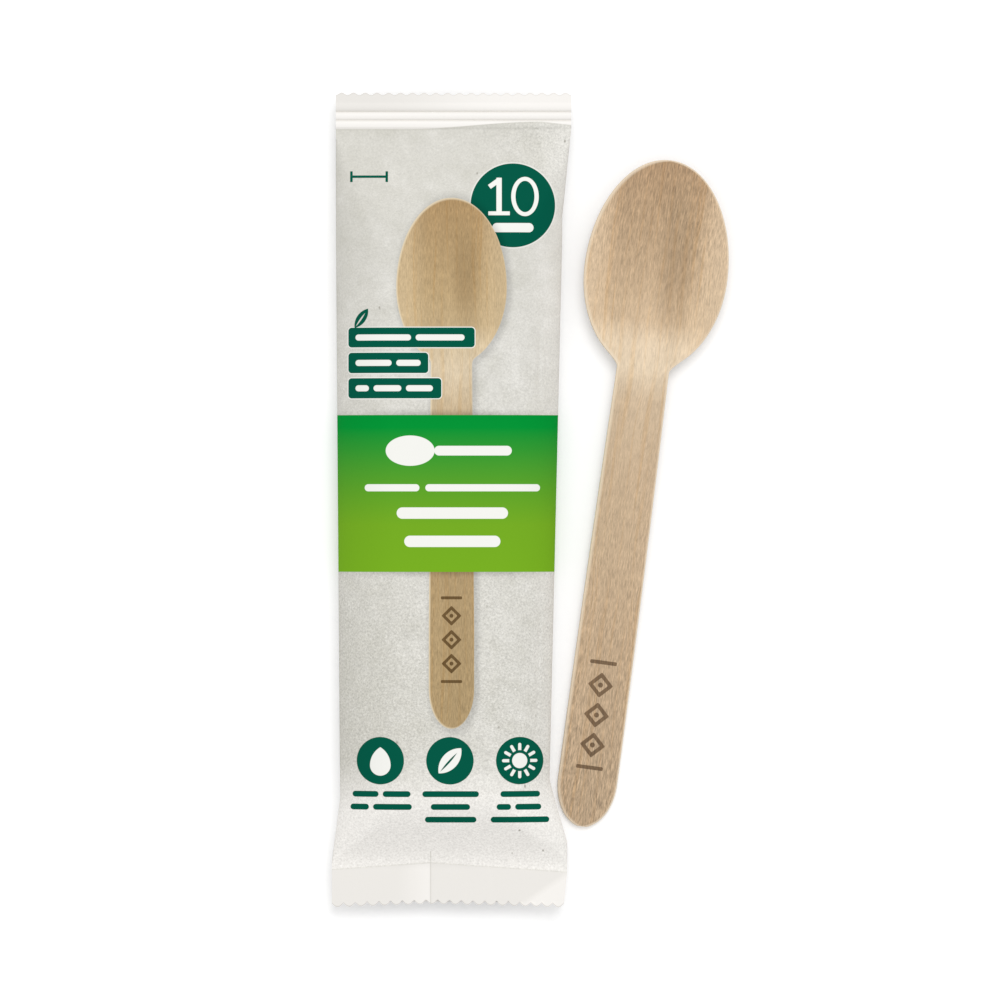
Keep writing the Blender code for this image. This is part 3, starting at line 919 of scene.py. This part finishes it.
def lay_discs(tree, place, ink):
    """Three green discs with a drop, a leaf and a sun, each over lines of dashes."""
    for x in DISC_X:
        ink = over(tree, ink, DARK_GREEN, disc(tree, place, x, DISC_Y, DISC_RADIUS))
    left, middle, right = DISC_X
    y = split(tree, place)["Y"]
    upper = ramp(tree, y, DISC_Y - 1.1, DISC_Y - 1.0)
    peak = calc(tree, "MULTIPLY", leaf(tree, place, left, DISC_Y - 1.1, 8.6, 4.9, 90), upper)
    drop = together(tree, disc(tree, place, left, DISC_Y - 1.1, 2.45), peak)
    blade = leaf(tree, place, middle, DISC_Y, 8.0, 3.8, 48)
    vein = leaf(tree, place, middle - 0.3, DISC_Y - 0.35, 6.0, 0.5, 48)
    rays = [bar(tree, turned(tree, place, right, DISC_Y, turn), 0, 0, 8.4, 0.75) for turn in SUN_RAYS]
    gap = disc(tree, place, right, DISC_Y, 2.5)
    sun = calc(tree, "MULTIPLY", together(tree, *rays), calc(tree, "SUBTRACT", 1.0, gap))
    sun = together(tree, sun, disc(tree, place, right, DISC_Y, 1.8))
    motifs = together(tree, drop, calc(tree, "SUBTRACT", blade, vein), sun)
    ink = over(tree, ink, WHITE_INK, motifs)
    lines = [
        words(tree, place, start, row, lengths, 1.4, 1.0)
        for caption in CAPTIONS
        for row, start, lengths in caption
    ]
    return over(tree, ink, DARK_GREEN, together(tree, *lines))


MARK_Y = 76.8
MARK_STROKE = 0.6


def lay_length_mark(tree, place, ink):
    """A small dimension line, which stands for the spoon's length."""
    line = bar(tree, place, -19.1, MARK_Y, 8.6, MARK_STROKE, SQUARE)
    stops = [bar(tree, place, x, MARK_Y, MARK_STROKE, 2.6, SQUARE) for x in (-23.3, -14.9)]
    return over(tree, ink, DARK_GREEN, together(tree, line, *stops))


BUMP_STRENGTH = 0.5
PAPER_RELIEF = 0.03
PAPER_ROUGHNESS = (0.5, 0.66)
PAPER_GLOSS = 0.02


def finish(tree, colour, roughness, height, relief, gloss):
    """What the surface shows: its colour, its sheen, and the relief of its grain."""
    shader = tree.nodes["Principled BSDF"]
    bump = {"Strength": BUMP_STRENGTH, "Distance": relief * MM, "Height": height}
    tree.links.new(colour, shader.inputs["Base Color"])
    tree.links.new(roughness, shader.inputs["Roughness"])
    tree.links.new(add(tree, "Bump", bump), shader.inputs["Normal"])
    shader.inputs["Specular IOR Level"].default_value = gloss


def start_paper(name):
    """A new paper, with the place on the pack in millimetres and the paper's grain there."""
    paper = bpy.data.materials.new(name)
    paper.use_nodes = True
    tree = paper.node_tree
    where = add(tree, "TexCoord", {}, 3)
    lie = {"Vector": where, "Location": (-PACK_MIDDLE, 0, 0), "Scale": (1 / MM,) * 3}
    place = add(tree, "Mapping", lie)
    flat = vector(tree, "MULTIPLY", place, (1, 1, 0))
    grain = add(tree, "Group", {"Place": place}, node_tree=PAPER_GRAIN).node.outputs
    return paper, tree, flat, grain


def finish_paper(tree, ink, grain):
    """Matt paper that carries the ink."""
    roughness = ramp(tree, grain["Grain"], 0.2, 0.8, *PAPER_ROUGHNESS)
    finish(tree, ink, roughness, grain["Height"], PAPER_RELIEF, PAPER_GLOSS)


def make_printed_paper():
    paper, tree, flat, grain = start_paper("printed_paper")
    plain = lay_field(tree, flat, grain)
    ink = lay_length_mark(tree, flat, plain)
    ink = lay_badge(tree, flat, ink)
    ink = lay_pictured_spoon(tree, flat, ink)
    ink = lay_labels(tree, flat, ink)
    ink = lay_discs(tree, flat, ink)
    front = ramp(tree, add(tree, "Attribute", {}, 2, attribute_name="printed_side"), 0.45, 0.55)
    ink = over(tree, plain, ink, front)
    ink = lay_band(tree, flat, ink)
    lettered = lay_band_motifs(tree, flat, ink)
    finish_paper(tree, over(tree, ink, lettered, front), grain)
    return paper


wrapper = make_wrapper()
wrapper.data.materials.append(make_printed_paper())
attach(wrapper, "root")
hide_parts("spoon_pack")

# The fin seam. The long edges of the sheet are sealed face to face along the back, and the fin
# that they make is folded over flat, so the pack rests on it. Fine grooves run along the seal.

FIN_COLUMNS, FIN_ROWS = 56, 160
FIN_GROOVES = 6
FIN_GROOVE_DEPTH = 0.06
FIN_SHORT = 0.3


def fin_point(column, y, face):
    full = fullness(y)
    back = blend(SEAL_THICKNESS / 2, FOLD_HEIGHT - FIN_THICKNESS, full)
    fold = blend(SEAL_HEIGHT, FOLD_HEIGHT, full) + crimp_at(y)
    groove = FIN_GROOVE_DEPTH * max(math.cos(column * FIN_GROOVES * math.pi), 0)
    depth = FIN_THICKNESS - groove if face < 0 else -FOLD_EDGE
    x = PACK_MIDDLE + middle_at(y) + FIN_LEFT + FIN_WIDTH * (column + 1) / 2
    return Vector((x, y, fold - back - depth))


def make_fin_seam():
    shell = bmesh.new()
    upper_end = END - UPPER_TOOTH - FIN_SHORT
    lower_end = -END + END_BOW + LOWER_TOOTH + FIN_SHORT

    def put(vert, face):
        y = blend(lower_end, upper_end, (vert.co.y + 1) / 2)
        vert.co = fin_point(vert.co.x, y, face)

    add_faces(shell, FIN_COLUMNS, FIN_ROWS, put)
    return add_mesh("fin_seam", shell)


def make_plain_paper():
    """The outside of the sheet where it carries only the mottled field and the band."""
    paper, tree, flat, grain = start_paper("seam_paper")
    finish_paper(tree, lay_band(tree, flat, lay_field(tree, flat, grain)), grain)
    return paper


fin = make_fin_seam()
fin.data.materials.append(make_plain_paper())
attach(fin, "root")

# The loose spoon. It is stamped from one sheet of birch veneer, its bowl is pressed in while the
# wood is damp and hot, and it is waxed. It rests on the bottom of its bowl and the handle's end.

SPOON_LENGTH = BIRCH_LENGTH
VENEER = 1.6
BOWL_WIDTH = 34.2
BOWL_LENGTH = 50.5
BOWL_POINT = 27
BOWL_DEPTH = 3.4
BOWL_DEEPEST = 31
BOWL_RIM = 1.6
HOLLOW_SOFTNESS = 2
HANDLE_WIDTH = 14.2
NECK_WIDTH = 12.5
NECK_FILLET = 3.2
TIP_LENGTH = 11
NECK_SWEEP = 1.8
SPOON_LEAN = math.radians(7.65)
SPOON_TILT = math.atan2(BOWL_DEPTH, SPOON_LENGTH - BOWL_DEEPEST)
RIM_ROUND = 0.35
SPOON_COLUMNS, SPOON_ROWS = 44, 300
END_ROW = 0.03
# Tones along the spoon, partly the wood's own and partly painted light and shade: a bright neck and
# heel, and a darker top of the bowl.
SPOON_TONES_AND_SHADING = [
    (0.0, (184, 159, 129)),
    (0.25, (191, 165, 134)),
    (0.53, (201, 175, 144)),
    (0.64, (208, 184, 154)),
    (0.69, (231, 210, 181)),
    (0.725, (227, 205, 175)),
    (0.76, (206, 180, 147)),
    (0.82, (201, 174, 141)),
    (1.0, (175, 144, 110)),
]
# Painted shade in the hollow of the bowl, right of its middle.
SPOON_HOLLOW_SHADE = linear(176, 150, 119)
# Painted light towards the sides of the bowl.
SPOON_SIDE_LIGHT = linear(226, 201, 169)
# A painted highlight along the rounded rim, wider at the left.
SPOON_RIM_HIGHLIGHT = linear(242, 225, 200)
SPOON_ROUGHNESS = (0.42, 0.58)
SPOON_RELIEF = 0.04
SPOON_GLOSS = 0.3
PORE_DEPTH, MARK_SINK = 0.6, 2.0  # beside the fibres' relief


def spoon_half_width(along):
    """The wider of handle and bowl, with a small fillet in the corner between them."""
    widest = SPOON_LENGTH - BOWL_POINT
    reach = BOWL_POINT if along > widest else BOWL_LENGTH - BOWL_POINT
    bowl = BOWL_WIDTH / 2 * math.sqrt(max(1 - ((along - widest) / reach) ** 2, 0))
    if along > widest:
        return bowl
    neck = SPOON_LENGTH - BOWL_LENGTH
    if along < TIP_LENGTH:
        handle = HANDLE_WIDTH / 2 * math.sqrt(max(1 - (1 - along / TIP_LENGTH) ** 2, 0))
    else:
        share = min((along - TIP_LENGTH) / (neck - TIP_LENGTH), 1)
        handle = blend(HANDLE_WIDTH, NECK_WIDTH, share**NECK_SWEEP) / 2
    near = max(NECK_FILLET - abs(bowl - handle), 0) / NECK_FILLET
    return max(bowl, handle) + near * near * NECK_FILLET / 4


def bowl_sink(across, along):
    """How far the press pushes the veneer down at a point of the spoon."""
    deepest = SPOON_LENGTH - BOWL_DEEPEST
    reach = BOWL_DEEPEST if along > deepest else BOWL_LENGTH - BOWL_DEEPEST
    off_end = (along - deepest) / (reach - BOWL_RIM)
    off_side = across / (BOWL_WIDTH / 2 - BOWL_RIM)
    off = min(math.hypot(off_end, off_side), 1)
    return BOWL_DEPTH * math.cos(off * math.pi / 2) ** HOLLOW_SOFTNESS


def spoon_along(share):
    """Rows of the spoon from -1 to 1, close together at both round ends."""
    crowded = math.sin(share * math.pi / 2)
    return blend(END_ROW, SPOON_LENGTH - END_ROW, (blend(share, crowded, 0.8) + 1) / 2)


def way_in(across, along):
    """How far a point of the spoon lies from its outline."""
    half = spoon_half_width(along)
    rise = spoon_half_width(along + END_ROW / 2) - spoon_half_width(along - END_ROW / 2)
    return (half - abs(across)) / math.hypot(1, rise / END_ROW)


def make_spoon():
    shell = bmesh.new()
    rim = shell.verts.layers.float.new("from_rim")

    def put(vert, face):
        along = spoon_along(vert.co.y)
        across = spoon_half_width(along) * math.sin(vert.co.x * math.pi / 2)
        vert[rim] = way_in(across, along)
        short = max(RIM_ROUND - vert[rim], 0)
        stand = VENEER / 2 - RIM_ROUND + math.sqrt(RIM_ROUND**2 - short**2)
        height = VENEER / 2 + face * stand - bowl_sink(across, along)
        vert.co = Vector((across, along, height))

    add_faces(shell, SPOON_COLUMNS, SPOON_ROWS, put)
    turn = Matrix.Rotation(-SPOON_LEAN, 3, "Z") @ Matrix.Rotation(SPOON_TILT, 3, "X")
    bmesh.ops.rotate(shell, matrix=turn, cent=(0, 0, 0), verts=shell.verts)
    corner = [min(vert.co[axis] for vert in shell.verts) for axis in range(3)]
    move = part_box("loose_spoon")[0] / MM - Vector(corner)
    bmesh.ops.translate(shell, verts=shell.verts, vec=move)
    return add_mesh("birch_spoon", shell), move


def make_birch(foot):
    """Pale birch veneer with painted light and shade on its bowl and a painted highlight on its rim;
    foot is where the handle's end lies.
    """
    birch = bpy.data.materials.new("birch")
    birch.use_nodes = True
    tree = birch.node_tree
    lie = {
        "Vector": add(tree, "TexCoord", {}, 3),
        "Location": foot * MM,
        "Rotation": (SPOON_TILT, 0, -SPOON_LEAN),
        "Scale": (MM,) * 3,
    }
    own = add(tree, "Mapping", lie, vector_type="TEXTURE")
    own = vector(tree, "SUBTRACT", own, (0, 0, VENEER))
    parts = split(tree, own)
    # Painted light at the neck and heel, and painted shade at the top of the bowl, in the tones along
    # the spoon.
    ground = tones(tree, calc(tree, "DIVIDE", parts["Y"], SPOON_LENGTH), SPOON_TONES_AND_SHADING)
    # Painted shade in the hollow of the bowl.
    patch = vector(tree, "DIVIDE", vector(tree, "SUBTRACT", own, (4.7, 138, 0)), (4, 14, 50))
    hollow = ramp(tree, vector(tree, "LENGTH", patch, output=1), 1.7, 0.2, 0.0, 0.75, smooth=True)
    ground = over(tree, ground, SPOON_HOLLOW_SHADE, hollow)
    # Painted light towards the sides of the bowl.
    from_left = calc(tree, "ABSOLUTE", calc(tree, "ADD", parts["X"], 1.2))
    side = ramp(tree, from_left, 8.0, 15.5, 0.0, 0.55, smooth=True)
    ground = over(tree, ground, SPOON_SIDE_LIGHT, side)
    colour, wood, mark = lay_birch(tree, own, ground, 0.85)
    # A painted highlight along the rim, wider at the left.
    from_rim = add(tree, "Attribute", {}, 2, attribute_name="from_rim")
    reach = ramp(tree, parts["X"], -6.0, 6.0, 1.0, 0.45)
    pale = ramp(tree, calc(tree, "DIVIDE", from_rim, reach), 0.3, 1.0, 0.75, 0.0)
    colour = over(tree, colour, SPOON_RIM_HIGHLIGHT, pale)
    roughness = ramp(tree, wood["Fibre"], 0.3, 0.7, *SPOON_ROUGHNESS)
    height = calc(tree, "MULTIPLY_ADD", wood["Pore"], -PORE_DEPTH, wood["Fibre"])
    height = calc(tree, "MULTIPLY_ADD", mark, -MARK_SINK, height)
    finish(tree, colour, roughness, height, SPOON_RELIEF, SPOON_GLOSS)
    return birch


spoon, spoon_foot = make_spoon()
spoon.data.materials.append(make_birch(spoon_foot))
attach(spoon, "root")
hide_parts("loose_spoon")

# The table under them: a wide, pale, plain floor that shows white to the camera and keeps the
# soft shadows. From below it is clear, so that the back of the pack can be looked at.

FLOOR_SIZE = 40000
FLOOR_DROP = 0.05
FLOOR_BOUNCE = 0.75
FLOOR_SHADE = 0.85
FLOOR_GLOW = 0.28


def seen_by_eye(tree):
    """1 for rays from the camera or by way of a gloss or glass."""
    path = tree.nodes.new("ShaderNodeLightPath").outputs
    seen = calc(tree, "MAXIMUM", path["Is Camera Ray"], path["Is Glossy Ray"])
    return calc(tree, "MAXIMUM", seen, path["Is Transmission Ray"])


def make_floor():
    shell = bmesh.new()
    bmesh.ops.create_grid(shell, x_segments=1, y_segments=1, size=FLOOR_SIZE / 2)
    bmesh.ops.translate(shell, verts=shell.verts, vec=(0, 0, -FLOOR_DROP))
    floor = add_mesh("floor", shell)
    pale = bpy.data.materials.new("pale_floor")
    pale.use_nodes = True
    tree = pale.node_tree
    tree.nodes.remove(tree.nodes["Principled BSDF"])
    bounce = add(tree, "BsdfDiffuse", {"Color": (*(FLOOR_BOUNCE,) * 3, 1)})
    shade = add(tree, "BsdfDiffuse", {"Color": (*(FLOOR_SHADE,) * 3, 1)})
    glow = add(tree, "Emission", {"Strength": FLOOR_GLOW})
    shown = add(tree, "AddShader", {0: shade, 1: glow})
    top = add(tree, "MixShader", {0: seen_by_eye(tree), 1: bounce, 2: shown})
    under = add(tree, "NewGeometry", {}).node.outputs["Backfacing"]
    clear = add(tree, "BsdfTransparent", {})
    whole = add(tree, "MixShader", {0: under, 1: top, 2: clear})
    tree.links.new(whole, tree.nodes["Material Output"].inputs["Surface"])
    floor.data.materials.append(pale)


make_floor()

# The light: a white room, and a large soft lamp above the upper end, a little to the right.

ROOM_LIGHT = 0.71
LAMP_SHARE = 0.30
LAMP_FROM = Vector((0.12, 0.5, 1)).normalized()
LAMP_ANGLE = 34


def make_light():
    room = bpy.data.worlds.new("white_room")
    room.use_nodes = True
    bpy.context.scene.world = room
    tree = room.node_tree
    tree.nodes.remove(tree.nodes["Background"])
    dim = add(tree, "Background", {"Color": (1, 1, 1, 1), "Strength": ROOM_LIGHT})
    white = add(tree, "Background", {"Color": (1, 1, 1, 1), "Strength": 1.0})
    shown = add(tree, "MixShader", {0: seen_by_eye(tree), 1: dim, 2: white})
    tree.links.new(shown, tree.nodes["World Output"].inputs["Surface"])
    lamp = bpy.data.lights.new("soft_lamp", "SUN")
    lamp.energy = LAMP_SHARE * math.pi / LAMP_FROM.z
    lamp.angle = math.radians(LAMP_ANGLE)
    holder = bpy.data.objects.new("soft_lamp", lamp)
    holder.rotation_euler = LAMP_FROM.to_track_quat("Z", "Y").to_euler()
    bpy.context.scene.collection.objects.link(holder)


make_light()

# The camera looks straight down from far off, through a long lens.

CAMERA_HEIGHT = 3.0
CAMERA_X = -0.00721
VIEW_WIDTH = 0.2376
SENSOR_WIDTH = 36
OBJECT_HEIGHT = 0.008


def make_camera():
    lens = bpy.data.cameras.new("camera")
    lens.sensor_width = SENSOR_WIDTH
    lens.lens = SENSOR_WIDTH * (CAMERA_HEIGHT - OBJECT_HEIGHT) / VIEW_WIDTH
    lens.clip_end = 100
    camera = bpy.data.objects.new("camera", lens)
    camera.location = (CAMERA_X, 0, CAMERA_HEIGHT)
    bpy.context.scene.collection.objects.link(camera)
    bpy.context.scene.camera = camera


make_camera()
bpy.context.scene.view_settings.view_transform = "Standard"
